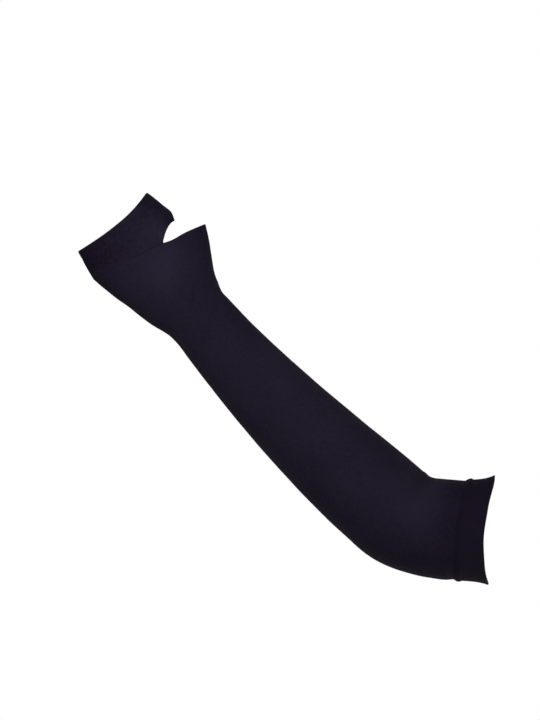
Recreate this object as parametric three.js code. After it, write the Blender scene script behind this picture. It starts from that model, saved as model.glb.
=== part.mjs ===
// An arm sleeve with a thumb hole, in the bent form it takes when worn.
// Millimetres. The origin is the centre of the elbow bend, +Z runs along the forearm stretch to the hand end,
// +X is the side of the thumb hole and of the crook of the bend, and -Y is the palm side.
import * as THREE from "three";
import { LoftGeometry } from "three/addons/geometries/LoftGeometry.js";
import { mergeVertices } from "three/addons/utils/BufferGeometryUtils.js";

// Driving dimensions. Places along the sleeve count from the middle of the bend, towards the hand end.
const ELBOW_BEND = 43;         // degrees between the lines of the forearm stretch and of the upper end
const ELBOW_RADIUS = 56.6;     // of the sleeve's axis through the bend
const RIM_AT = -67.2;          // the upper cuff's open edge
const ROLL_AT = -44.5;         // middle of the rolled seam between the tube and the upper cuff
const ROLL_WIDTH = 6;
const ROLL_RISE = 1.3;         // of the rolled seam above the upper cuff
const HAND_SEAM_AT = 302.3;    // slanting seam between the tube and the hand cuff
const FINGER_EDGE_AT = 337;    // the hand cuff's open edge
const TUBE_WALL = 1.2;         // single knit
const HAND_CUFF_WALL = 2;      // doubled welt
const UPPER_CUFF_WALL = 2.2;   // doubled welt
const PIECE_GAP = 0.3;

// Thumb hole: the tube and the hand cuff part from the thickest point of the seam round the thumb side.
const WEB_REACH = 37.6;        // from the axis to the web, the hand cuff's edge at the top of the hole
const WEB_RISE = 12.8;         // of that edge above the seam
const WEB_EASE = 1.55;         // how soon the edge turns up from the hole's corner
const WEB_BUNCH = 2.6;         // swell of the cuff where it gathers at the web
const BUNCH_AT = 0.27;         // place of the swell, as a share of the cuff's width from that edge
const BUNCH_RUN = 0.2;         // share of the cuff's width to each side that the swell takes
const CUFF_BOW = 1.9;          // outward bow of the hand cuff between its edges, on the thumb side
const EDGE_REACH = 40.2;       // from the axis to the hand cuff's finger edge on the thumb side

// Facets
const STEPS_AROUND = 36;
const TUBE_STEP = 8;           // longest step along the tube
const HAND_CUFF_STEPS = 8;
const UPPER_CUFF_STEPS = 9;
const ROLL_STEPS = 6;

// Sections of the tube's outer face, carried on under both cuffs.
// outer and inner run from the axis to the elbow-side and the thumb-side outline, depth is half the
// thickness, split is the place across of the thickest point, full swells an ellipse towards a block,
// slant and lean turn the section in degrees across and front to back, shift moves it towards the back,
// arch carries its front and back on towards the hand end. At the finger edge inner only carries on the
// flare of the tube: the hand cuff has its own reach there.
const SECTION_COLUMNS = [
  "along", "outer", "inner", "depth", "split", "full", "slant", "lean", "shift", "arch",
];
const SECTIONS = [
  [RIM_AT, 42.3, 44, 42, 0, 0, 1.6, -5.3, -8.6, 5.8],
  [-64, 41.2, 42.3, 41, 0, 0, 2, -5.5, -8, 5.2],
  [-57, 40.2, 40.4, 40.2, 0, 0, 3, -5.9, -6.6, 4],
  [ROLL_AT, 40.1, 39.1, 39.9, 0, 0, 4.5, -6, -4.4, 2.8],
  [-33, 40.9, 39.3, 40, 0, 0, 2.5, -4.2, -2.4, 1.9],
  [-21, 40, 39.9, 39.9, 0, 0, 1, -2.4, -1, 1],
  [0, 38.7, 40.6, 39.6, 0, 0, 0, -0.6, 0, 0.3],
  [21, 39, 41.2, 39.2, 0, 0, 0, 0, 0, 0],
  [47, 40.3, 39, 38.2, 0, 0, 0, 0, 0, 0],
  [95, 39.8, 33.8, 35.4, 0, 0, 0, 0, 0, 0],
  [143, 37, 29.7, 31, 0, 0, 0, 0, 0, 0],
  [191, 32.2, 27.2, 25.6, 0, 0.02, 0, 0, 0, 0],
  [215, 29, 27.3, 22.8, 0, 0.04, 0, 0, 0, 0],
  [238, 26.3, 28.6, 20.9, 0.4, 0.07, 2, 0, 0, 0],
  [253.2, 30.4, 33.5, 20.2, 3, 0.12, 7.2, 0, -0.4, 0],
  [269.3, 33.7, 42, 19.8, 9, 0.18, 11.5, 1, -1, 0],
  [285.8, 37.3, 51.1, 18.2, 16, 0.24, 15.6, 2, -1.8, 0.3],
  [HAND_SEAM_AT, 39.6, 59.2, 16, 22.3, 0.3, 18.2, 4, -2.8, 1.3],
  [FINGER_EDGE_AT, 30.8, 76, 13.2, 12, 0.34, 4.1, 6, -6, -4],
];

// The one knit tube is given in four stretches, so that each is a short plain shape round its own hollow.
const TUBE_STRETCHES = [
  { name: "tube_elbow", end: 60 },
  { name: "tube_forearm", end: 150 },
  { name: "tube_wrist", end: 236 },
  { name: "tube_palm", end: HAND_SEAM_AT },
];

// Shallow dents in the crook of the bend, on the palm side and the back.
// width is along the tube, spread is degrees around it from the middle at that angle.
const CROOK_DENTS = [
  { along: 3, angle: -36, width: 11, spread: 20, depth: 0.6 },
  { along: 1, angle: 38, width: 11, spread: 22, depth: 0.9 },
];

const bend = THREE.MathUtils.degToRad(ELBOW_BEND);
const halfArc = ELBOW_RADIUS * bend / 2;
const arcCentre = new THREE.Vector3(ELBOW_RADIUS, 0, ELBOW_RADIUS * Math.tan(bend / 2));
const backward = new THREE.Vector3(0, 1, 0);

const sectionValues = new THREE.CubicInterpolant(
  SECTIONS.map((row) => row[0]),
  SECTIONS.flatMap((row) => row.slice(1)),
  SECTION_COLUMNS.length - 1,
);

// The smoothed section at a place along the sleeve, by column name.
function sectionAt(along) {
  const values = sectionValues.evaluate(along);
  return Object.fromEntries(SECTION_COLUMNS.slice(1).map((name, column) => [name, values[column]]));
}

// Directions across the sleeve to the thumb side and forward to the hand end, turned by an angle at the bend.
function acrossAt(turn) {
  return new THREE.Vector3(Math.cos(turn), 0, Math.sin(turn));
}

function forwardAt(turn) {
  return new THREE.Vector3(-Math.sin(turn), 0, Math.cos(turn));
}

// How far the axis has turned: not at all along the forearm stretch, all the bend along the upper end.
function axisTurn(along) {
  return THREE.MathUtils.clamp((halfArc - along) / ELBOW_RADIUS, 0, bend);
}

// The axis is an arc through the bend, carried on straight at both ends.
function axisPoint(along) {
  const turn = axisTurn(along);
  const straight = along - THREE.MathUtils.clamp(along, -halfArc, halfArc);
  return arcCentre.clone()
    .addScaledVector(acrossAt(turn), -ELBOW_RADIUS)
    .addScaledVector(forwardAt(turn), straight);
}

// A point of a section: an egg with its own reach on each side, grown outwards, arched and lifted forward.
function sectionPoint(along, section, angle, growth, lift) {
  const side = Math.cos(angle);
  const face = Math.sin(angle);
  const reach = side > 0 ? section.inner - section.split : section.outer + section.split;
  const acrossBy = section.split + (reach + growth) * side;
  const backBy = (section.depth + growth) * face * (1 + section.full * side * side);
  const turn = axisTurn(along) - THREE.MathUtils.degToRad(section.slant);
  const lean = THREE.MathUtils.degToRad(section.lean);
  return axisPoint(along)
    .addScaledVector(acrossAt(turn), acrossBy)
    .addScaledVector(backward, section.shift + backBy * Math.cos(lean))
    .addScaledVector(forwardAt(turn), lift + section.arch * face * face + backBy * Math.sin(lean));
}

// Depth of the crook's dents at a place: each is a bell along the tube and around it.
function dentDepth(along, angle) {
  return CROOK_DENTS.reduce((depth, dent) => {
    const away = (along - dent.along) / dent.width;
    const turned = THREE.MathUtils.radToDeg(Math.atan2(Math.sin(angle), Math.cos(angle))) - dent.angle;
    return depth + dent.depth * Math.exp(-(away ** 2) - (turned / dent.spread) ** 2);
  }, 0);
}

// Rise of the hand cuff's lower edge from the hole's corners to the web.
function webRise(angle) {
  const side = Math.max(Math.cos(angle), 0);
  return WEB_RISE * (1 - (1 - side) ** WEB_EASE);
}

// A closed wall from its outer and inner faces, each a function of a share of its length and an angle.
function wallGeometry(outerFace, innerFace, steps) {
  const ring = (face, share) =>
    Array.from({ length: STEPS_AROUND }, (_, step) => face(share, 2 * Math.PI * step / STEPS_AROUND));
  const shares = Array.from({ length: steps + 1 }, (_, step) => step / steps);
  const outerRings = shares.map((share) => ring(outerFace, share));
  const innerRings = shares.map((share) => ring(innerFace, share)).reverse();
  const loft = new LoftGeometry([...outerRings, ...innerRings, outerRings[0]]);
  const skin = new THREE.BufferGeometry();
  skin.setAttribute("position", loft.getAttribute("position"));
  skin.setIndex(loft.getIndex());
  const geometry = mergeVertices(skin);
  geometry.computeVertexNormals();
  return geometry;
}

// Arm tube: a stretch of the single knit that runs from the rolled seam to the slanting hand seam.
function armTube(start, end) {
  const face = (growth) => (share, angle) => {
    const along = THREE.MathUtils.lerp(start, end, share);
    return sectionPoint(along, sectionAt(along), angle, growth - dentDepth(along, angle), 0);
  };
  return wallGeometry(face(0), face(-TUBE_WALL), Math.ceil((end - start) / TUBE_STEP));
}

// Hand cuff: doubled welt from the hand seam and the top of the thumb hole to the open finger edge.
function handCuff() {
  const seam = { ...sectionAt(HAND_SEAM_AT), inner: WEB_REACH };
  const edge = { ...sectionAt(FINGER_EDGE_AT), inner: EDGE_REACH };
  const face = (growth) => (share, angle) => {
    const side = Math.max(Math.cos(angle), 0);
    const bunch = WEB_BUNCH * side ** 4 * Math.exp(-(((share - BUNCH_AT) / BUNCH_RUN) ** 2));
    const bow = CUFF_BOW * side * Math.sin(Math.PI * share);
    const lift = PIECE_GAP + webRise(angle);
    const low = sectionPoint(HAND_SEAM_AT, seam, angle, growth + bunch + bow, lift);
    const high = sectionPoint(FINGER_EDGE_AT, edge, angle, growth + bow, 0);
    return low.lerp(high, share);
  };
  return wallGeometry(face(HAND_CUFF_WALL - TUBE_WALL), face(-TUBE_WALL), HAND_CUFF_STEPS);
}

// Upper cuff: doubled welt, waisted above the rolled seam and flicked out at its rim.
function upperCuff() {
  const end = ROLL_AT - ROLL_WIDTH / 2 - PIECE_GAP;
  const face = (growth) => (share, angle) => {
    const along = THREE.MathUtils.lerp(RIM_AT, end, share);
    return sectionPoint(along, sectionAt(along), angle, growth, 0);
  };
  return wallGeometry(face(UPPER_CUFF_WALL - TUBE_WALL), face(-TUBE_WALL), UPPER_CUFF_STEPS);
}

// Seam roll: the joined edges of tube and upper cuff, turned over into a low round ridge.
function seamRoll() {
  const face = (growth, rise) => (share, angle) => {
    const along = ROLL_AT + ROLL_WIDTH * (share - 0.5);
    return sectionPoint(along, sectionAt(along), angle, growth + rise * Math.sin(Math.PI * share), 0);
  };
  const shoulder = (UPPER_CUFF_WALL - TUBE_WALL) / 2;
  return wallGeometry(face(shoulder, ROLL_RISE + shoulder), face(-TUBE_WALL, 0), ROLL_STEPS);
}

const knit = { color: 0x1b1720, roughness: 0.9, metalness: 0 };
const welt = { color: 0x17131b, roughness: 0.92, metalness: 0 };

function piece(name, geometry, finish) {
  const mesh = new THREE.Mesh(geometry, new THREE.MeshStandardMaterial(finish));
  mesh.name = name;
  return mesh;
}

const tubeStretches = TUBE_STRETCHES.map(({ name, end }, index) => {
  const start = index > 0 ? TUBE_STRETCHES[index - 1].end : ROLL_AT + ROLL_WIDTH / 2;
  return piece(name, armTube(start + PIECE_GAP, end), knit);
});

const sleeve = new THREE.Group();
sleeve.add(
  ...tubeStretches,
  piece("hand_cuff", handCuff(), welt),
  piece("upper_cuff", upperCuff(), welt),
  piece("seam_roll", seamRoll(), welt),
);

export default sleeve;
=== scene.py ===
import bpy
import numpy as np
from mathutils import Matrix, Vector


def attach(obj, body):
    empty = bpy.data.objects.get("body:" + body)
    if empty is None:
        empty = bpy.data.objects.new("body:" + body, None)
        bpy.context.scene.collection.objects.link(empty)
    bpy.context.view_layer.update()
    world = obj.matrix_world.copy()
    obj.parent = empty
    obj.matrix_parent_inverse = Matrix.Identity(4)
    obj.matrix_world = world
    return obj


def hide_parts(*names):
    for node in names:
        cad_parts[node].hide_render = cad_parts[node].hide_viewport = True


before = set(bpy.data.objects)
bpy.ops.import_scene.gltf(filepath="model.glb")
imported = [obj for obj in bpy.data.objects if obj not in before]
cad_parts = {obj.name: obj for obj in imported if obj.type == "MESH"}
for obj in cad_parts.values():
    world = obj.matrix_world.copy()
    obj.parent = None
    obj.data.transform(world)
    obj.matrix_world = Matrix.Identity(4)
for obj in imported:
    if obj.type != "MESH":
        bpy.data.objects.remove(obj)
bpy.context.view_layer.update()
millimetre = 0.001  # in metres
print("frame:", ", ".join(sorted(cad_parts)))


# Worn form: places along the sleeve count from the middle of the elbow bend towards the hand end. Angles
# go round it from 0 on the thumb side, and a quarter turn is the back.
sleeve = {
    "elbowBend": 43.0,       # degrees between the lines of the forearm stretch and of the upper end
    "elbowRadius": 56.6,     # of the sleeve's line through the bend
    "rimAt": -67.2,          # upper cuff's open edge
    "rollAt": -44.5,         # middle of the rolled seam
    "handSeamAt": 302.3,     # slanting seam between tube and hand cuff
    "fingerEdgeAt": 337.0,   # hand cuff's open edge
    "innerFace": -1.2,       # of every wall, from the tube's outer face
    "joinedFrom": (-0.06, 0.1),  # where the hand seam begins and where it is closed, as minus a cosine
    "seamDeepest": 0.2, "seamFade": 0.34,  # radians past the hole's corners, and to lose most of the groove
    "seamFaint": 0.1,        # what is left of the groove everywhere
    "heelSwell": 0.75, "heelFrom": 222.0, "heelFull": 254.0,  # swell below the hand seam on the elbow side
}

# outer and inner run from the line to the elbow-side and the thumb-side outline, depth is half the
# thickness, split is where across it is thickest, full swells an ellipse towards a block, slant and
# lean turn the section in degrees, shift moves it to the back, arch carries its front and back on
# towards the hand end; at the finger edge inner only carries on the tube's flare
sectionColumns = ["along", "outer", "inner", "depth", "split", "full", "slant", "lean", "shift", "arch"]
sectionRows = np.array([
    [sleeve["rimAt"], 42.3, 44.0, 42.0, 0, 0, 1.6, -5.3, -8.6, 5.8],
    [-64.0, 41.2, 42.3, 41.0, 0, 0, 2, -5.5, -8, 5.2],
    [-57.0, 40.2, 40.4, 40.2, 0, 0, 3, -5.9, -6.6, 4.0],
    [sleeve["rollAt"], 40.1, 39.1, 39.9, 0, 0, 4.5, -6, -4.4, 2.8],
    [-33.0, 40.9, 39.3, 40.0, 0, 0, 2.5, -4.2, -2.4, 1.9],
    [-21.0, 40.0, 39.9, 39.9, 0, 0, 1, -2.4, -1, 1],
    [0.0, 38.7, 40.6, 39.6, 0, 0, 0, -0.6, 0, 0.3],
    [21.0, 39.0, 41.2, 39.2, 0, 0, 0, 0, 0, 0],
    [47.0, 40.3, 39.0, 38.2, 0, 0, 0, 0, 0, 0],
    [95.0, 39.8, 33.8, 35.4, 0, 0, 0, 0, 0, 0],
    [143.0, 37.0, 29.7, 31.0, 0, 0, 0, 0, 0, 0],
    [191.0, 32.2, 27.2, 25.6, 0, 0.02, 0, 0, 0, 0],
    [215.0, 29.0, 27.3, 22.8, 0, 0.04, 0, 0, 0, 0],
    [238.0, 26.3, 28.6, 20.9, 0.4, 0.07, 2, 0, 0, 0],
    [253.2, 30.4, 33.5, 20.2, 3, 0.12, 7.2, 0, -0.4, 0],
    [269.3, 33.7, 42.0, 19.8, 9, 0.18, 11.5, 1, -1, 0],
    [285.8, 37.3, 51.1, 18.2, 16, 0.24, 15.6, 2, -1.8, 0.3],
    [sleeve["handSeamAt"], 39.6, 59.2, 16.0, 22.3, 0.3, 18.2, 4, -2.8, 1.3],
    [sleeve["fingerEdgeAt"], 30.8, 76.0, 13.2, 12, 0.34, 4.1, 6, -6, -4],
])

# Slow unevenness of worn cloth: each row is a wave along the sleeve, bowed by a wave around it, times a
# second wave around it that twists on the way. Runs are in mm, starts in radians.
clothWaves = [
    {"height": 1.0, "run": 9.1, "start": 0.0, "bow": 2.0, "bowTurns": 1, "bowStart": 0.0,
     "turns": 3, "twist": 31.0, "turnStart": 0.0},
    {"height": 0.7, "run": 5.3, "start": 1.3, "bow": 1.5, "bowTurns": 2, "bowStart": np.pi / 2,
     "turns": 5, "twist": -17.0, "turnStart": -np.pi / 2},
]


# 0 below start, 1 above end, an eased rise between
def easeBetween(value, start, end):
    share = np.clip((value - start) / (end - start), 0, 1)
    return share * share * (3 - 2 * share)


# a bell of height 1 and the given half width
def bell(distance, width):
    return np.exp(-(distance / width) ** 2)


# from one value to another by a share
def between(first, second, share):
    return first + (second - first) * share


# Cubic through the rows of the table; its slope at a row is that of the line between the row's
# neighbours, and it runs out without bending at both ends
def sectionAt(along):
    place, values = sectionRows[:, 0], sectionRows[:, 1:]
    slopes = np.empty_like(values)
    slopes[1:-1] = (values[2:] - values[:-2]) / (place[2:] - place[:-2])[:, None]
    steps = np.diff(values, axis=0) / np.diff(place)[:, None]
    slopes[0] = 1.5 * steps[0] - 0.5 * slopes[1]
    slopes[-1] = 1.5 * steps[-1] - 0.5 * slopes[-2]
    along = np.asarray(along, float)
    row = np.clip(np.searchsorted(place, along) - 1, 0, len(place) - 2)
    gap = (place[row + 1] - place[row])[..., None]
    share = (along - place[row])[..., None] / gap
    curve = ((2 * share**3 - 3 * share**2 + 1) * values[row]
             + (share**3 - 2 * share**2 + share) * gap * slopes[row]
             + (3 * share**2 - 2 * share**3) * values[row + 1]
             + (share**3 - share**2) * gap * slopes[row + 1])
    return dict(zip(sectionColumns[1:], np.moveaxis(curve, -1, 0)))


# A point of a section: an egg with its own reach on each side, grown outwards by growth, set on an arc
# through the bend that runs on straight at both ends, turned by slant and lean, then arched and lifted
# towards the hand end
def sectionPoint(along, section, angle, growth, lift):
    bend, radius = np.radians(sleeve["elbowBend"]), sleeve["elbowRadius"]
    halfArc = radius * bend / 2
    side, face = np.cos(angle), np.sin(angle)
    reach = np.where(side > 0, section["inner"] - section["split"], section["outer"] + section["split"])
    across = section["split"] + (reach + growth) * side
    back = (section["depth"] + growth) * face * (1 + section["full"] * side**2)
    turn = np.clip((halfArc - along) / radius, 0, bend)
    straight = along - np.clip(along, -halfArc, halfArc)
    tilt = turn - np.radians(section["slant"])
    lean = np.radians(section["lean"])
    forward = lift + section["arch"] * face**2 + back * np.sin(lean)
    x = (radius * (1 - np.cos(turn)) - np.sin(turn) * straight
         + np.cos(tilt) * across - np.sin(tilt) * forward)
    y = section["shift"] + back * np.cos(lean)
    z = (radius * (np.tan(bend / 2) - np.sin(turn)) + np.cos(turn) * straight
         + np.sin(tilt) * across + np.cos(tilt) * forward)
    return np.stack(np.broadcast_arrays(x, y, z), -1)


# equal steps once round, as one row of a grid
def anglesAround(count):
    return np.linspace(0, 2 * np.pi, count, endpoint=False)[None, :]


# 1 where tube and hand cuff are sewn together, 0 round the thumb hole
def joinedAt(angle):
    return easeBetween(-np.cos(angle), *sleeve["joinedFrom"])


# How far the hand seam shows: a bell just past the hole's corners, over a faint rest
def seamShows(angle):
    pastCorner = np.arccos(np.cos(angle)) - np.pi / 2
    shown = bell(pastCorner - sleeve["seamDeepest"], sleeve["seamFade"])
    return joinedAt(angle) * between(sleeve["seamFaint"], 1, shown)


# Swell at the heel of the sleeve: a squared cosine on the elbow side
def heelSwell(angle):
    return sleeve["heelSwell"] * np.maximum(-np.cos(angle), 0) ** 2


# Sum of the cloth waves, about 1 high
def unevenness(along, angle):
    total = 0
    for wave in clothWaves:
        bow = wave["bow"] * np.sin(wave["bowTurns"] * angle + wave["bowStart"])
        around = np.cos(wave["turns"] * angle + along / wave["twist"] + wave["turnStart"])
        total = total + wave["height"] * np.sin(along / wave["run"] + wave["start"] + bow) * around
    return total / sum(wave["height"] for wave in clothWaves)


# Sum of plain waves round the sleeve
def wavesAround(angle, waves):
    return sum(wave["height"] * np.sin(wave["turns"] * angle + wave["start"]) for wave in waves)


# Gathers round a seam: a sine that crowds and spreads as its phase sways, shifted by lean
def gathersAround(angle, gathers, lean=0):
    return np.sin(gathers["count"] * angle + gathers["sway"] * np.sin(gathers["swayTurns"] * angle) + lean)


# Rows once round the cut of a wall: up the outer face, over the far edge, down the inner face, over the
# near edge. run is the distance from the near edge, through goes from 1 outside to -1 inside.
def wallRows(length, piece, edgeSteps=7):
    wall, edge = piece["wall"], piece["wall"] / 2
    outer = np.linspace(edge, length - edge, int((length - wall) / piece["outerStep"]) + 2)
    inner = np.linspace(length - edge, edge, int((length - wall) / piece["innerStep"]) + 2)
    arc = np.linspace(0, np.pi, edgeSteps + 2)[1:-1]
    run = np.concatenate([outer, length - edge + edge * np.sin(arc), inner, edge - edge * np.sin(arc)])
    through = np.concatenate([np.ones(len(outer)), np.cos(arc), -np.ones(len(inner)), -np.cos(arc)])
    return run[:, None], through[:, None]


# Two maps from shares around and along, on a grid with one more row and column than the quads: knitMap
# counts wales and courses, the bake map is the unit square less a margin. Corners of faces beyond the grid
# stay at the map's first point.
def addMaps(mesh, aroundShare, alongShare, wales, courses, margin=0.002):
    shares = np.stack([aroundShare, alongShare], -1)
    maps = {"knitMap": shares * (wales, courses), "OFBake": margin + (1 - 2 * margin) * shares}
    for name, corners in maps.items():
        perQuad = np.stack([corners[:-1, :-1], corners[:-1, 1:], corners[1:, 1:], corners[1:, :-1]], 2)
        perQuad = perQuad.reshape(-1, 2)
        beyond = np.repeat(perQuad[:1], len(mesh.loops) - len(perQuad), 0)
        layer = mesh.uv_layers.new(name=name)
        layer.uv.foreach_set("vector", np.concatenate([perQuad, beyond]).astype(np.float32).ravel())


# a smooth mesh as an object of the scene
def addPiece(name, mesh):
    mesh.shade_smooth()
    piece = bpy.data.objects.new(name, mesh)
    bpy.context.scene.collection.objects.link(piece)
    print(f"{name}: {len(mesh.loops) - 2 * len(mesh.polygons)} triangles")
    return piece


# Closed quads over a grid that joins up both ways, its wales shared out by length around. The per-point value
# is 0 for cloth as knitted and lifts the colour towards bright where it is more: partly cloth drawn thin and
# paler, partly painted light and painted shade.
def pieceFromGrid(name, grid, stretch, knit):
    rows, around = grid.shape[:2]
    index = np.arange(rows * around).reshape(rows, around)
    nextColumn, nextRow = np.roll(index, -1, 1), np.roll(index, -1, 0)
    quads = np.stack([index, nextColumn, np.roll(nextColumn, -1, 0), nextRow], -1).reshape(-1, 4)
    mesh = bpy.data.meshes.new(name)
    mesh.from_pydata((grid * millimetre).reshape(-1, 3), [], quads)
    closed = np.pad(grid, ((0, 1), (0, 1), (0, 0)), mode="wrap")
    girth = np.cumsum(np.linalg.norm(np.diff(closed, axis=1), axis=-1), 1)
    girth = np.pad(girth, ((0, 0), (1, 0)))
    length = np.cumsum(np.linalg.norm(np.diff(closed, axis=0), axis=-1).mean(1))
    length = np.broadcast_to(np.pad(length, (1, 0))[:, None], girth.shape)
    total = length[-1, 0]
    addMaps(mesh, girth / girth[:, -1:], length / total, knit["wales"], total / knit["course"])
    drawn = np.broadcast_to(stretch, (rows, around)).astype(np.float32)
    mesh.attributes.new("stretch", "FLOAT", "POINT").data.foreach_set("value", drawn.ravel())
    return addPiece(name, mesh)


# Arm tube: single knit from under the rolled seam to the hand seam
armTube = {
    "startAt": -42.8,        # tucked under the rolled seam
    "wall": 1.2,
    "around": 208, "outerStep": 1.3, "innerStep": 4.0,
    "seamClose": 0.8, "closeRun": 24.0,    # the sewn end reaches in under the cuff's edge
    "grooveDepth": 0.45, "grooveWidth": 1.1,
    "lipSwell": 0.22, "lipAt": 1.0, "lipWidth": 1.6,   # knit edge curling at the thumb hole
    "lipDip": 1.0, "dipAt": 0.22, "dipRun": 0.2,   # sag of that edge beside the hole's corners, as a cosine
    "creaseShade": 0.55,                   # how much darker the cloth lies in a steep crease
    "rollPull": 0.05, "rollPullRun": 3.5,  # cloth drawn in beside the rolled seam
    "gathers": {"count": 37, "sway": 2.0, "swayTurns": 4}, "gatherShare": 0.3,   # of that pull
    "uneven": 0.11, "evenRun": 12.0,       # the unevenness ends at the hand seam
    "wales": 236, "course": 0.72,
}
# Dents and creases of the tube: where along and at which angle, how wide and how long in mm, how far
# turned from straight across, and how deep; a negative depth stands up
creases = [
    {"along": 3, "angle": -36, "width": 11.0, "length": 14.0, "turned": 0, "depth": 0.6},
    {"along": 1, "angle": 38, "width": 11.0, "length": 15.4, "turned": 0, "depth": 0.9},
    {"along": 9, "angle": -32, "width": 2.6, "length": 8.0, "turned": 8, "depth": 0.14},
    {"along": -4, "angle": -28, "width": 2.4, "length": 9.0, "turned": -5, "depth": 0.17},
    {"along": 7, "angle": 35, "width": 2.6, "length": 10.0, "turned": -6, "depth": 0.3},
    {"along": -6, "angle": 33, "width": 2.4, "length": 11.0, "turned": 5, "depth": 0.35},
    {"along": 249.5, "angle": -76, "width": 1.3, "length": 6.0, "turned": 45, "depth": 0.5},
    {"along": 253.5, "angle": -80, "width": 2.2, "length": 6.5, "turned": 45, "depth": -0.18},
    {"along": 7, "angle": 0, "width": 9.0, "length": 20.0, "turned": 0, "depth": -0.6},
    {"along": 9, "angle": 180, "width": 9.0, "length": 22.0, "turned": 0, "depth": -0.45},
    {"along": -12, "angle": 180, "width": 9.0, "length": 22.0, "turned": 0, "depth": 0.55},
    {"along": 236, "angle": 0, "width": 4.5, "length": 15.0, "turned": 0, "depth": 0.6},
    {"along": 246, "angle": -4, "width": 4.5, "length": 14.0, "turned": 0, "depth": -0.3},
    {"along": 238, "angle": 180, "width": 7.0, "length": 16.0, "turned": 0, "depth": -0.15},
    {"along": 273, "angle": 180, "width": 5.0, "length": 16.0, "turned": 0, "depth": 0.4},
    {"along": 236, "angle": -120, "width": 3.0, "length": 11.0, "turned": -20, "depth": 0.22},
    {"along": 228, "angle": -62, "width": 3.2, "length": 10.0, "turned": 15, "depth": 0.2},
    {"along": 288, "angle": -74, "width": 2.2, "length": 12.0, "turned": 64, "depth": 0.15},
    {"along": 289, "angle": 76, "width": 2.2, "length": 12.0, "turned": -64, "depth": 0.22},
    {"along": 243, "angle": 100, "width": 2.8, "length": 14.0, "turned": 10, "depth": 0.3},
    {"along": 234, "angle": 70, "width": 3.0, "length": 12.0, "turned": -12, "depth": 0.25},
]
# Patches of the tube that are paler or darker, partly where it is drawn thin or lies slack and partly painted
# light and painted shade: place, half length along and around in mm, and how much
drawnAndShadedPatches = [
    {"along": 285, "angle": -95, "run": 26, "around": 18, "stretch": 0.36},
    {"along": 283, "angle": 95, "run": 26, "around": 20, "stretch": 0.3},
    {"along": 298, "angle": -24, "run": 16, "around": 26, "stretch": -0.14},
    {"along": 298, "angle": 24, "run": 16, "around": 26, "stretch": -0.1},
    {"along": 304, "angle": -165, "run": 20, "around": 26, "stretch": -0.13},
    {"along": 304, "angle": 165, "run": 20, "around": 20, "stretch": -0.14},
    {"along": 205, "angle": -38, "run": 40, "around": 22, "stretch": -0.07},
    {"along": 110, "angle": -85, "run": 90, "around": 22, "stretch": 0.05},
    {"along": 110, "angle": 85, "run": 90, "around": 22, "stretch": 0.05},
    {"along": 70, "angle": -32, "run": 36, "around": 18, "stretch": -0.15},
    {"along": 60, "angle": -140, "run": 34, "around": 16, "stretch": -0.1},
    {"along": 0, "angle": -68, "run": 25, "around": 22, "stretch": 0.14},
    {"along": 6, "angle": -20, "run": 16, "around": 14, "stretch": -0.1},
    {"along": -12, "angle": -145, "run": 34, "around": 24, "stretch": -0.23},
    {"along": -38, "angle": -26, "run": 17, "around": 22, "stretch": -0.24},
    {"along": -34, "angle": -165, "run": 18, "around": 16, "stretch": -0.16},
    {"along": -38, "angle": 30, "run": 17, "around": 24, "stretch": -0.2},
    {"along": -44, "angle": -90, "run": 22, "around": 60, "stretch": -0.25},
    {"along": -44, "angle": 90, "run": 22, "around": 60, "stretch": -0.25},
]
creaseRadius = 40.0  # turns angles into mm around, for creases and patches


# distances along and around from a place of the tube, in mm
def awayFrom(spot, along, angle):
    apart = angle - np.radians(spot["angle"])
    return along - spot["along"], creaseRadius * np.arctan2(np.sin(apart), np.cos(apart))


# Depth of the creases, and the same over their width as a measure of how steep they are: each crease is
# a bell across and along its own line
def creaseRelief(along, angle):
    depth, steepness = 0, 0
    for crease in creases:
        away, beside = awayFrom(crease, along, angle)
        turned = np.radians(crease["turned"])
        acrossLine = away * np.cos(turned) - beside * np.sin(turned)
        alongLine = away * np.sin(turned) + beside * np.cos(turned)
        dent = crease["depth"] * bell(acrossLine, crease["width"]) * bell(alongLine, crease["length"])
        depth = depth + dent
        steepness = steepness + dent / crease["width"]
    return depth, steepness


# Paleness of the tube, partly stretch and partly painted light and painted shade: the sum of its patches,
# each a bell along and around
def tubeStretchAndShade(along, angle):
    stretch = 0
    for patch in drawnAndShadedPatches:
        away, beside = awayFrom(patch, along, angle)
        stretch = stretch + patch["stretch"] * bell(away, patch["run"]) * bell(beside, patch["around"])
    return stretch


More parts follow.
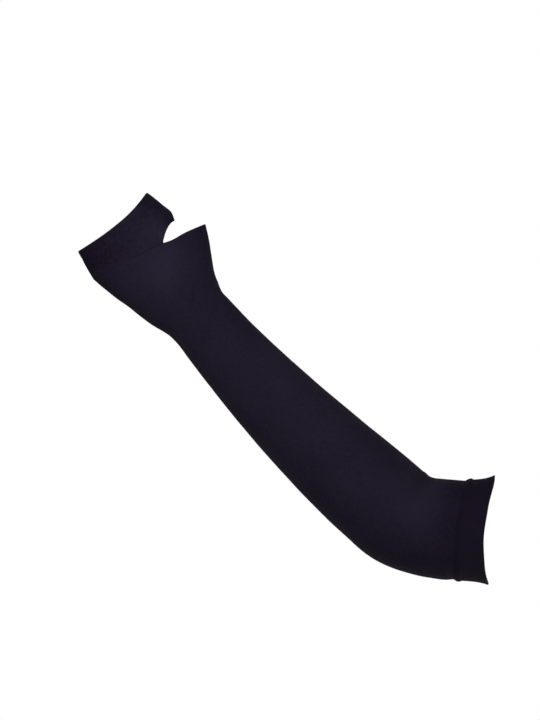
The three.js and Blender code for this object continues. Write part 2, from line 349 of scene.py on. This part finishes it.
# Tube wall: the table's sections from start to hand seam, less the creases, the groove and the pull beside
# the seams, plus the slow unevenness and the swells of the heel and of the free edge. Its end is carried
# under the cuff where it is sewn, and sags a little beside the hole's corners.
def tubeGrid():
    endAt = sleeve["handSeamAt"]
    run, through = wallRows(endAt - armTube["startAt"], armTube)
    along, angle = armTube["startAt"] + run, anglesAround(armTube["around"])
    joined, toEnd = joinedAt(angle), endAt - along
    creased, steepness = creaseRelief(along, angle)
    even = easeBetween(toEnd, 0, armTube["evenRun"])
    heel = easeBetween(along, sleeve["heelFrom"], sleeve["heelFull"])
    pull = between(1, gathersAround(angle, armTube["gathers"]), armTube["gatherShare"])
    growth = (through - 1) * armTube["wall"] / 2 - creased
    growth = growth + armTube["uneven"] * unevenness(along, angle) * even
    growth = growth + heelSwell(angle) * heel
    growth = growth - armTube["grooveDepth"] * seamShows(angle) * bell(toEnd, armTube["grooveWidth"])
    growth = growth + armTube["lipSwell"] * (1 - joined) * bell(toEnd - armTube["lipAt"], armTube["lipWidth"])
    growth = growth - armTube["rollPull"] * bell(run, armTube["rollPullRun"]) * pull
    dip = armTube["lipDip"] * bell(np.cos(angle) - armTube["dipAt"], armTube["dipRun"])
    lift = between(-dip, armTube["seamClose"], joined)
    lift = lift * easeBetween(along, endAt - armTube["closeRun"], endAt)
    # paleness from the patches, less painted shade in the bottom of each steep crease
    stretch = tubeStretchAndShade(along, angle) - armTube["creaseShade"] * steepness
    return sectionPoint(along, sectionAt(along), angle, growth, lift), stretch


tubePiece = pieceFromGrid("arm_tube", *tubeGrid(), armTube)


# Hand cuff: doubled welt, joined to the tube below and free round the top of the thumb hole
handCuff = {
    "wall": 2.0,
    "seamWall": 1.16, "seamRun": 20.0,     # thinned to the tube's level where it is sewn on
    "nominalLength": 33.0,                 # of the welt from seam to finger edge
    "around": 240, "outerStep": 0.8, "innerStep": 1.6,
    "gap": 0.3, "seamClose": 0.9,          # to the tube's end round the hole, and taken back where it is sewn
    "webReach": 37.6, "webRise": 12.8, "webEase": 1.55,   # of the edge at the top of the thumb hole
    "edgeReach": 40.2,                     # of the finger edge on the thumb side
    "webBunch": 2.6, "bunchAt": 0.27, "bunchRun": 0.2,    # as shares of the way to the finger edge
    "bunchSteep": 4,                       # power of the cosine that keeps the bunch at the web
    "bow": 1.9,                            # outwards between its two edges, on the thumb side
    "heelGone": (0.1, 0.8),                # share over which the swell of the heel ends
    "hemLineAt": 8.5, "hemLineDepth": 0.2, "hemLineWidth": 0.7,   # from the finger edge
    "grooveDepth": 0.4, "grooveWidth": 1.3,
    "pucker": 0.06, "puckerRun": 3.2, "gathers": {"count": 58, "sway": 2.0, "swayTurns": 3},
    "uneven": 0.08, "unevenFrom": 40.0,    # place of its lower edge in the cloth waves
    "stretchMiddle": 0.3, "stretchSides": -0.34,    # painted light on palm and back, partly stretch, against painted shade at the two sides
    "stretchLean": 0.12, "stretchSteep": 4,   # radians that its middle lies to the thumb side, and a power
    "stretchFade": 0.5, "fadeFrom": 0.2,   # how much of the middle's is gone at the finger edge
    "stretchEase": 0.4,                    # share over which the tube's paleness and painted shade give way to its own
    "wales": 196, "course": 0.8,
}


# Paleness of the cuff, partly stretch and partly painted light and painted shade: a power of a sine, high at
# palm and back, painted shade at the two sides, and lower towards the finger edge. At the seam it is the
# tube's and eases into its own.
def handCuffStretchAndShade(share, angle):
    middle = np.sin(np.arccos(np.cos(angle)) + handCuff["stretchLean"]) ** handCuff["stretchSteep"]
    middle = middle * (1 - handCuff["stretchFade"] * easeBetween(share, handCuff["fadeFrom"], 1))
    own = between(handCuff["stretchSides"], handCuff["stretchMiddle"], middle)
    atSeam = joinedAt(angle) * (1 - easeBetween(share, 0, handCuff["stretchEase"]))
    return between(own, tubeStretchAndShade(sleeve["handSeamAt"], angle), atSeam)


# Cuff wall: straight from its lower edge, the seam's section with the web's reach and rise, to the finger
# edge's section; swollen where the web bunches it and bowed a little on the thumb side. The outer face is
# drawn in by the groove and the hem line and puckered along the seam.
def handCuffGrid():
    length = handCuff["nominalLength"]
    run, through = wallRows(length, handCuff)
    angle = anglesAround(handCuff["around"])
    share, joined, side = run / length, joinedAt(angle), np.maximum(np.cos(angle), 0)
    outside = (through + 1) / 2
    thinned = joined * (1 - easeBetween(run, 0, handCuff["seamRun"]))
    wall = between(handCuff["wall"], handCuff["seamWall"], thinned)
    groove = handCuff["grooveDepth"] * seamShows(angle) * bell(run, handCuff["grooveWidth"])
    hemLine = handCuff["hemLineDepth"] * bell(length - run - handCuff["hemLineAt"], handCuff["hemLineWidth"])
    pucker = handCuff["pucker"] * bell(run, handCuff["puckerRun"]) * gathersAround(angle, handCuff["gathers"])
    uneven = handCuff["uneven"] * unevenness(run + handCuff["unevenFrom"], angle) * np.sin(np.pi * share)
    growth = sleeve["innerFace"] + outside * (wall - groove - hemLine + joined * pucker) + uneven
    growth = growth + heelSwell(angle) * (1 - easeBetween(share, *handCuff["heelGone"]))
    bunch = handCuff["webBunch"] * bell(share - handCuff["bunchAt"], handCuff["bunchRun"])
    bunch = bunch * side ** handCuff["bunchSteep"]
    bow = handCuff["bow"] * side * np.sin(np.pi * share)
    webRise = handCuff["webRise"] * (1 - (1 - side) ** handCuff["webEase"])
    lift = handCuff["gap"] - handCuff["seamClose"] * joined + webRise
    seam = sectionAt(sleeve["handSeamAt"])
    seam["inner"] = handCuff["webReach"]
    edge = sectionAt(sleeve["fingerEdgeAt"])
    edge["inner"] = handCuff["edgeReach"]
    low = sectionPoint(sleeve["handSeamAt"], seam, angle, growth + bunch + bow, lift)
    high = sectionPoint(sleeve["fingerEdgeAt"], edge, angle, growth + bow, 0)
    return between(low, high, share[..., None]), handCuffStretchAndShade(share, angle)


handCuffPiece = pieceFromGrid("hand_cuff_welt", *handCuffGrid(), handCuff)


# Upper cuff: doubled welt, waisted by the rolled seam and flicked out at its rim
upperCuff = {
    "wall": 2.2,
    "endAt": -46.2,          # tucked under the rolled seam
    "around": 224, "outerStep": 0.8, "innerStep": 1.6,
    "rimWaves": [{"height": 0.35, "turns": 3, "start": 0.8}, {"height": 0.21, "turns": 7, "start": 2.1}],
    "rimSkew": 1.4,                        # how much further its arch reaches on the elbow side
    "rimWaveRun": 9.0,                     # how far into the cuff the rim's waves go
    "rollPull": 0.08, "rollPullRun": 2.6,
    "gathers": {"count": 41, "sway": 2.0, "swayTurns": 5}, "gatherShare": 0.3,
    "uneven": 0.1,
    "stretch": -0.03, "stretchThumb": -0.23,   # painted shade, a little all round and more on the thumb side than opposite
    "stretchEdge": -0.14, "edgeSteep": 6,  # painted shade also close to both sides, as a power of the cosine
    "wales": 228, "course": 0.8,
}


# Cuff wall: the table's sections from rim to seam; the rim rises and falls in slow waves and is skewed to
# the elbow side by a cosine times a squared sine, and the cloth is drawn in where the rolled seam holds it
def upperCuffGrid():
    length = upperCuff["endAt"] - sleeve["rimAt"]
    run, through = wallRows(length, upperCuff)
    along, angle = sleeve["rimAt"] + run, anglesAround(upperCuff["around"])
    outside, side = (through + 1) / 2, np.cos(angle)
    pull = between(1, gathersAround(angle, upperCuff["gathers"]), upperCuff["gatherShare"])
    pull = pull * upperCuff["rollPull"] * bell(length - run, upperCuff["rollPullRun"])
    growth = sleeve["innerFace"] + outside * (upperCuff["wall"] - pull)
    growth = growth + upperCuff["uneven"] * unevenness(along, angle)
    skew = -upperCuff["rimSkew"] * side * np.sin(angle) ** 2
    lift = (wavesAround(angle, upperCuff["rimWaves"]) + skew) * bell(run, upperCuff["rimWaveRun"])
    # painted shade: darker on the thumb side and close to both sides
    stretch = upperCuff["stretch"] + upperCuff["stretchThumb"] * side
    stretch = stretch + upperCuff["stretchEdge"] * side ** upperCuff["edgeSteep"]
    return sectionPoint(along, sectionAt(along), angle, growth, lift), stretch


upperCuffPiece = pieceFromGrid("upper_cuff_welt", *upperCuffGrid(), upperCuff)


# Rolled seam: joined edges of tube and upper cuff turned over into a low round ridge
seamRoll = {
    "toCuff": 4.6, "toTube": 3.0,          # reach of its feet from the middle of the seam
    "cuffLevel": 0.82, "tubeLevel": -0.1,  # of the feet, just under the faces on both sides
    "crest": 1.5, "crestFlat": 0.5,        # over the slope between its feet, at the sides and front and back
    "roundness": 1.2, "roundnessFlat": 2.0,  # power of the hump's sine at those places, rounder when small
    "flatten": 0.6,                        # power of the sine that leads from the sides to front and back
    "inside": -1.1,                        # level of its underside
    "around": 420, "outerSteps": 22, "innerSteps": 6,
    "pucker": 0.08, "gathers": {"count": 82, "sway": 2.5, "swayTurns": 5},
    "puckerLean": 7.2,                     # radians that the puckers shift from foot to foot
    "wander": [{"height": 0.06, "turns": 3, "start": 1.0}, {"height": 0.06, "turns": 8, "start": 0.0}],
    "stretch": -0.08, "stretchThumb": -0.2,   # painted shade, a little all round and more on the thumb side
    "wales": 150, "course": 0.6,
}


# Roll: an eased slope from foot to foot plus a power of a sine, carried round the seam's section with
# slanting puckers and a slow change of height, round at the sides and pulled flatter at front and back,
# and closed by a flat underside
def seamRollGrid():
    over = np.linspace(0, 1, seamRoll["outerSteps"])
    under = np.linspace(1, 0, seamRoll["innerSteps"])
    share = np.concatenate([over, under])[:, None]
    onOuter = np.concatenate([np.ones_like(over), np.zeros_like(under)])[:, None]
    angle = anglesAround(seamRoll["around"])
    flat = np.abs(np.sin(angle)) ** seamRoll["flatten"]
    power = between(seamRoll["roundness"], seamRoll["roundnessFlat"], flat)
    hump = np.clip(np.sin(np.pi * share), 0, 1) ** power
    pucker = gathersAround(angle, seamRoll["gathers"], seamRoll["puckerLean"] * share)
    crest = between(seamRoll["crest"], seamRoll["crestFlat"], flat)
    crest = crest + seamRoll["pucker"] * pucker + wavesAround(angle, seamRoll["wander"])
    outer = between(seamRoll["cuffLevel"], seamRoll["tubeLevel"], easeBetween(share, 0, 1)) + hump * crest
    growth = between(seamRoll["inside"], outer, onOuter)
    along = sleeve["rollAt"] + between(-seamRoll["toCuff"], seamRoll["toTube"], share)
    # painted shade, darker on the thumb side
    stretch = seamRoll["stretch"] + seamRoll["stretchThumb"] * np.maximum(np.cos(angle), 0)
    return sectionPoint(along, sectionAt(along), angle, growth, 0), stretch


rollPiece = pieceFromGrid("rolled_seam", *seamRollGrid(), seamRoll)


# Seam thread: one fine thread that zigzags in the groove of the hand seam from corner to corner
seamThread = {
    "thread": 0.09,          # radius
    "half": 0.6,             # reach to each side of the seam
    "lift": 0.15,            # of the seam's line past the tube's end
    "pitch": 1.3,            # along the seam for one zig and zag
    "perZig": 8, "sides": 6,
    "high": -0.12, "low": -0.42,  # of the thread's middle over the groove and in the cloth
    "diveSteep": 4,          # power of the swing that keeps it high until it dives
    "endSteps": 3, "endTip": 0.05,  # it thins out over its last steps, to a blunt tip
    "lineSteps": 1200,       # for measuring the seam's length
}


# Thread: a round cut carried along a zigzag; each zig rises out of the cloth on one side of the seam,
# passes over the groove and goes down on the other. Where the groove fades out the thread lies in the cloth.
def seamThreadGrid():
    seamAt, seam = sleeve["handSeamAt"], sectionAt(sleeve["handSeamAt"])
    corner = np.arccos(-sleeve["joinedFrom"][1])
    angleFine = np.linspace(corner, 2 * np.pi - corner, seamThread["lineSteps"])
    seamLine = sectionPoint(seamAt, seam, angleFine, 0, 0)
    seamLength = np.pad(np.cumsum(np.linalg.norm(np.diff(seamLine, axis=0), axis=-1)), (1, 0))
    zigs = int(seamLength[-1] / seamThread["pitch"])
    zig = np.linspace(0, zigs, zigs * seamThread["perZig"] + 1)
    angle = np.interp(zig / zigs * seamLength[-1], seamLength, angleFine)
    swing = np.sin(2 * np.pi * zig)
    height = between(seamThread["high"], seamThread["low"], swing ** seamThread["diveSteep"])
    height = height + heelSwell(angle)
    lift = seamThread["lift"] + seamThread["half"] * swing
    path = sectionPoint(seamAt, seam, angle, height, lift)
    outward = sectionPoint(seamAt, seam, angle, height + 1, lift) - path
    heading = np.gradient(path, axis=0)
    heading /= np.linalg.norm(heading, axis=-1, keepdims=True)
    outward -= heading * (outward * heading).sum(-1, keepdims=True)
    outward /= np.linalg.norm(outward, axis=-1, keepdims=True)
    beside = np.cross(heading, outward)
    turn = np.linspace(0, 2 * np.pi, seamThread["sides"], endpoint=False)[None, :, None]
    toEnd = np.minimum(np.arange(len(zig)), np.arange(len(zig))[::-1])
    thinned = np.sqrt(np.clip((toEnd + seamThread["endTip"]) / seamThread["endSteps"], 0, 1))
    radius = seamThread["thread"] * thinned[:, None, None]
    return path[:, None] + radius * (np.cos(turn) * outward[:, None] + np.sin(turn) * beside[:, None])


# a tube round a path, its grid open along the path and capped at both ends
def threadFromGrid(name, grid):
    rows, around = grid.shape[:2]
    index = np.arange(rows * around).reshape(rows, around)
    nextColumn = np.roll(index, -1, 1)
    quads = np.stack([index[:-1], nextColumn[:-1], nextColumn[1:], index[1:]], -1).reshape(-1, 4)
    caps = [index[0, ::-1].tolist(), index[-1].tolist()]
    mesh = bpy.data.meshes.new(name)
    mesh.from_pydata((grid * millimetre).reshape(-1, 3), [], quads.tolist() + caps)
    aroundShare, alongShare = np.meshgrid(np.linspace(0, 1, around + 1), np.linspace(0, 1, rows))
    addMaps(mesh, aroundShare, alongShare, 1, rows)
    return addPiece(name, mesh)


threadPiece = threadFromGrid("hand_seam_thread", seamThreadGrid())


# Cloth finishes: colours are linear; deep is down between the yarns, bright on top of them, and the painted
# light and painted shade of the per-point attribute also move the colour between them
tubeYarn = {"deep": (0.0046, 0.0029, 0.0081), "bright": (0.0190, 0.0153, 0.0282)}
gleam = (0.65, 0.50, 1.0)  # tint of the sheen on all of them
cloths = {
    "tubeKnit": {
        **tubeYarn,
        "lean": 0.6, "loopShade": 0.22, "broadShade": 0.36, "fineShade": 0.56,
        "broadSize": 0.030, "fineSize": 0.0024,
        "roughness": 0.7, "roughSpread": 0.12, "specular": 0.08, "bump": 0.00013,
    },
    "handWelt": {
        "deep": (0.0047, 0.0027, 0.0073), "bright": (0.0177, 0.0145, 0.0260),
        "lean": 0.5, "loopShade": 0.22, "broadShade": 0.3, "fineShade": 0.8,
        "broadSize": 0.024, "fineSize": 0.0026,
        "roughness": 0.7, "roughSpread": 0.1, "specular": 0.08, "bump": 0.00015,
    },
    "armWelt": {
        "deep": (0.0035, 0.0020, 0.0055), "bright": (0.0132, 0.0107, 0.0194),
        "lean": 0.5, "loopShade": 0.22, "broadShade": 0.3, "fineShade": 0.35,
        "broadSize": 0.024, "fineSize": 0.0022,
        "roughness": 0.74, "roughSpread": 0.1, "specular": 0.06, "bump": 0.00015,
    },
    "seamYarn": {
        **tubeYarn,
        "lean": 0.0, "loopShade": 0.0, "broadShade": 0.2, "fineShade": 0.5,
        "broadSize": 0.004, "fineSize": 0.0006,
        "roughness": 0.66, "roughSpread": 0.1, "specular": 0.1, "bump": 0.00004,
    },
}
loopForm = {
    "legRound": 0.6,         # power of the sine across a leg, fuller when small
    "loopWave": 0.25,        # share of the height that rises and falls along a leg
    "fineLift": 0.5,         # how much of the fine mottle stands up with the loops
}
mottleDetail = {"Broad": 2.0, "Fine": 3.0}


# Shader groups
def newGroup(name, inputs, outputs):
    group = bpy.data.node_groups.new(name, "ShaderNodeTree")
    for label, kind in inputs:
        group.interface.new_socket(name=label, in_out="INPUT", socket_type=kind)
    for label, kind in outputs:
        group.interface.new_socket(name=label, in_out="OUTPUT", socket_type=kind)
    return group, group.nodes.new("NodeGroupInput"), group.nodes.new("NodeGroupOutput")


def placeGroup(tree, group):
    node = tree.nodes.new("ShaderNodeGroup")
    node.node_tree = group
    return node


# a Math node fed by sockets or numbers
def mathNode(tree, operation, *values):
    node = tree.nodes.new("ShaderNodeMath")
    node.operation = operation
    for socket, value in zip(node.inputs, values):
        if isinstance(value, bpy.types.NodeSocket):
            tree.links.new(value, socket)
        else:
            socket.default_value = value
    return node.outputs[0]


# Plain knit: two leaning legs to each wale, a row of them to each course. Leg is a rounded ridge across
# the wale, loop a wave along it whose phase leans with the leg; height is ridge times the raised wave.
def makeKnitLoops():
    group, start, end = newGroup(
        "knitLoops",
        [("Map", "NodeSocketVector"), ("Lean", "NodeSocketFloat")],
        [("Height", "NodeSocketFloat")])
    split = group.nodes.new("ShaderNodeSeparateXYZ")
    group.links.new(start.outputs["Map"], split.inputs[0])
    centred = mathNode(group, "SUBTRACT", mathNode(group, "FRACT", split.outputs["X"]), 0.5)
    fromMiddle = mathNode(group, "MULTIPLY", mathNode(group, "ABSOLUTE", centred), 2.0)
    ridge = mathNode(group, "SINE", mathNode(group, "MULTIPLY", fromMiddle, np.pi))
    leg = mathNode(group, "POWER", ridge, loopForm["legRound"])
    leaning = mathNode(group, "MULTIPLY_ADD", fromMiddle, start.outputs["Lean"], split.outputs["Y"])
    wave = mathNode(group, "COSINE", mathNode(group, "MULTIPLY", leaning, 2 * np.pi))
    loop = mathNode(group, "MULTIPLY_ADD", wave, loopForm["loopWave"], 1 - loopForm["loopWave"])
    group.links.new(mathNode(group, "MULTIPLY", leg, loop), end.inputs["Height"])
    return group


# Mottle of dyed yarn: broad and fine noise at two sizes, each centred on 0
def makeClothMottle():
    group, start, end = newGroup(
        "clothMottle",
        [("Place", "NodeSocketVector"), ("Broad Size", "NodeSocketFloat"), ("Fine Size", "NodeSocketFloat")],
        [("Broad", "NodeSocketFloat"), ("Fine", "NodeSocketFloat")])
    for label, detail in mottleDetail.items():
        noise = group.nodes.new("ShaderNodeTexNoise")
        noise.inputs["Detail"].default_value = detail
        group.links.new(start.outputs["Place"], noise.inputs["Vector"])
        group.links.new(mathNode(group, "DIVIDE", 1.0, start.outputs[f"{label} Size"]), noise.inputs["Scale"])
        group.links.new(mathNode(group, "SUBTRACT", noise.outputs[0], 0.5), end.inputs[label])
    return group


knitLoops = makeKnitLoops()
clothMottle = makeClothMottle()


# Knit cloth: loops from the piece's own map, mottle from its place and the per-point attribute, partly
# stretch and partly painted light and painted shade, set how far the colour goes from deep to bright; the
# mottle also sets how rough it is, and with the loops how high the yarn stands
def makeCloth(name):
    look = cloths[name]
    material = bpy.data.materials.new(name)
    material.use_nodes = True
    tree = material.node_tree
    shader = tree.nodes["Principled BSDF"]
    knitMap = tree.nodes.new("ShaderNodeUVMap")
    knitMap.uv_map = "knitMap"
    loops = placeGroup(tree, knitLoops)
    loops.inputs["Lean"].default_value = look["lean"]
    tree.links.new(knitMap.outputs[0], loops.inputs["Map"])
    place = tree.nodes.new("ShaderNodeTexCoord")
    mottle = placeGroup(tree, clothMottle)
    mottle.inputs["Broad Size"].default_value = look["broadSize"]
    mottle.inputs["Fine Size"].default_value = look["fineSize"]
    tree.links.new(place.outputs["Object"], mottle.inputs["Place"])
    # per-point paleness, partly stretch and partly painted light and painted shade
    stretch = tree.nodes.new("ShaderNodeAttribute")
    stretch.attribute_name = "stretch"
    height, broad, fine = loops.outputs["Height"], mottle.outputs["Broad"], mottle.outputs["Fine"]
    shade = mathNode(tree, "MULTIPLY_ADD", height, look["loopShade"], 0.5 - look["loopShade"] / 2)
    shade = mathNode(tree, "MULTIPLY_ADD", broad, look["broadShade"], shade)
    shade = mathNode(tree, "MULTIPLY_ADD", fine, look["fineShade"], shade)
    shade = mathNode(tree, "ADD", shade, stretch.outputs["Fac"])
    colour = tree.nodes.new("ShaderNodeMix")
    colour.data_type = "RGBA"
    deep, bright = [socket for socket in colour.inputs if socket.type == "RGBA"]
    deep.default_value = (*look["deep"], 1)
    bright.default_value = (*look["bright"], 1)
    tree.links.new(shade, colour.inputs["Factor"])
    colourOut = next(socket for socket in colour.outputs if socket.type == "RGBA")
    tree.links.new(colourOut, shader.inputs["Base Color"])
    rough = mathNode(tree, "MULTIPLY_ADD", fine, look["roughSpread"], look["roughness"])
    tree.links.new(rough, shader.inputs["Roughness"])
    yarn = mathNode(tree, "MULTIPLY_ADD", fine, loopForm["fineLift"], height)
    bump = tree.nodes.new("ShaderNodeBump")
    bump.inputs["Distance"].default_value = look["bump"]
    tree.links.new(yarn, bump.inputs["Height"])
    tree.links.new(bump.outputs[0], shader.inputs["Normal"])
    shader.inputs["Specular IOR Level"].default_value = look["specular"]
    shader.inputs["Specular Tint"].default_value = (*gleam, 1)
    return material


finishes = {name: makeCloth(name) for name in cloths}
print("finishes:", ", ".join(finishes))

# Which nodes each piece stands for, and its finish
dressed = [
    (tubePiece, "tubeKnit", "tube_knit", ["tube_elbow", "tube_forearm", "tube_wrist", "tube_palm"]),
    (handCuffPiece, "handWelt", "welt_knit", ["hand_cuff"]),
    (upperCuffPiece, "armWelt", "welt_knit", ["upper_cuff"]),
    (rollPiece, "armWelt", "welt_knit", ["seam_roll"]),
    (threadPiece, "seamYarn", "welt_knit", []),
]
for piece, finish, slot, nodes in dressed:
    piece.data.materials.append(finishes[finish])
    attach(piece, "root")
    if nodes:
        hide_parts(*nodes)
# Studio, in metres
studio = {
    "floorHeight": -0.30, "floorRadius": 0.60, "floorColour": (0.82, 0.82, 0.82),
    "floorRoughness": 0.9,
    "floorFade": 0.45,       # share of the radius from which the floor fades out
    "floorRings": 24, "floorAround": 96,
    "backdrop": 1.0, "ambient": 0.35,
    "aim": (0.015, 0.0, 0.13),
}
softboxes = [
    {"name": "keyLight", "place": (0.25, -1.0, 0.75), "size": 0.8, "power": 12, "gleams": True},
    {"name": "rearLight", "place": (0.05, 1.6, 0.4), "size": 0.7, "power": 20, "gleams": False},
]


# Floor finish: plain and pale, its alpha falling with the distance from the middle
def makePaleFloor():
    material = bpy.data.materials.new("paleFloor")
    material.use_nodes = True
    tree = material.node_tree
    shader = tree.nodes["Principled BSDF"]
    shader.inputs["Base Color"].default_value = (*studio["floorColour"], 1)
    shader.inputs["Roughness"].default_value = studio["floorRoughness"]
    place = tree.nodes.new("ShaderNodeTexCoord")
    flat = tree.nodes.new("ShaderNodeVectorMath")
    flat.operation = "MULTIPLY"
    flat.inputs[1].default_value = (1, 1, 0)  # leaves the height out
    length = tree.nodes.new("ShaderNodeVectorMath")
    length.operation = "LENGTH"
    fade = tree.nodes.new("ShaderNodeMapRange")
    fade.interpolation_type = "SMOOTHSTEP"
    fade.inputs["From Min"].default_value = studio["floorRadius"] * studio["floorFade"]
    fade.inputs["From Max"].default_value = studio["floorRadius"]
    fade.inputs["To Min"].default_value = 1
    fade.inputs["To Max"].default_value = 0
    tree.links.new(place.outputs["Object"], flat.inputs[0])
    tree.links.new(flat.outputs["Vector"], length.inputs[0])
    tree.links.new(length.outputs["Value"], fade.inputs["Value"])
    tree.links.new(fade.outputs[0], shader.inputs["Alpha"])
    return material


# Floor: a disc of rings round the origin
def makeFloor():
    rings = np.linspace(0, studio["floorRadius"], studio["floorRings"] + 1)[1:, None]
    angle = anglesAround(studio["floorAround"])
    height = np.full(np.broadcast_shapes(rings.shape, angle.shape), studio["floorHeight"])
    grid = np.stack([rings * np.cos(angle), rings * np.sin(angle), height], -1)
    index = np.arange(height.size).reshape(height.shape)
    nextColumn = np.roll(index, -1, 1)
    quads = np.stack([index[:-1], index[1:], nextColumn[1:], nextColumn[:-1]], -1).reshape(-1, 4)
    mesh = bpy.data.meshes.new("floor")
    mesh.from_pydata(grid.reshape(-1, 3), [], quads.tolist() + [index[0].tolist()])
    mesh.materials.append(makePaleFloor())
    floor = bpy.data.objects.new("floor", mesh)
    bpy.context.scene.collection.objects.link(floor)


# World: white behind everything, a dim grey for the light it sheds
def makeWorld():
    world = bpy.data.worlds.new("studioWorld")
    bpy.context.scene.world = world
    world.use_nodes = True
    tree = world.node_tree
    shed = tree.nodes["Background"]
    seen = tree.nodes.new("ShaderNodeBackground")
    for background, strength in ((shed, studio["ambient"]), (seen, studio["backdrop"])):
        background.inputs["Color"].default_value = (1, 1, 1, 1)
        background.inputs["Strength"].default_value = strength
    rays = tree.nodes.new("ShaderNodeLightPath")
    mix = tree.nodes.new("ShaderNodeMixShader")
    tree.links.new(rays.outputs["Is Camera Ray"], mix.inputs[0])
    tree.links.new(shed.outputs[0], mix.inputs[1])
    tree.links.new(seen.outputs[0], mix.inputs[2])
    tree.links.new(mix.outputs[0], tree.nodes["World Output"].inputs["Surface"])


# Softbox: a square lamp turned to the sleeve, out of the camera's sight
def makeSoftbox(box):
    light = bpy.data.lights.new(box["name"], "AREA")
    light.shape = "SQUARE"
    light.size = box["size"]
    light.energy = box["power"]
    lamp = bpy.data.objects.new(box["name"], light)
    lamp.location = box["place"]
    lamp.rotation_euler = (Vector(studio["aim"]) - lamp.location).to_track_quat("-Z", "Y").to_euler()
    lamp.visible_camera = False
    lamp.visible_glossy = box["gleams"]
    bpy.context.scene.collection.objects.link(lamp)


makeFloor()
makeWorld()
for box in softboxes:
    makeSoftbox(box)
bpy.context.scene.view_settings.view_transform = "Standard"
bpy.context.scene.view_settings.look = "None"
print("studio set")

# Camera: level, faces the palm side, rolled so that the hand end points up and to the left
viewpoint = {
    "place": (0.0167, -2.0, 0.1711),
    "right": (0.711, 0.0, -0.703),
    "back": (0.0, -1.0, 0.0),
    "lens": 125.0, "sensor": 36.0,
}


# the view's right, up and back are the columns of the camera's turn
def makeCamera():
    data = bpy.data.cameras.new("photoCamera")
    data.lens = viewpoint["lens"]
    data.sensor_width = viewpoint["sensor"]
    camera = bpy.data.objects.new("photoCamera", data)
    right, back = Vector(viewpoint["right"]).normalized(), Vector(viewpoint["back"])
    turn = Matrix((right, back.cross(right), back)).transposed()
    camera.matrix_world = Matrix.Translation(viewpoint["place"]) @ turn.to_4x4()
    bpy.context.scene.collection.objects.link(camera)
    bpy.context.scene.camera = camera


makeCamera()
print("camera set")
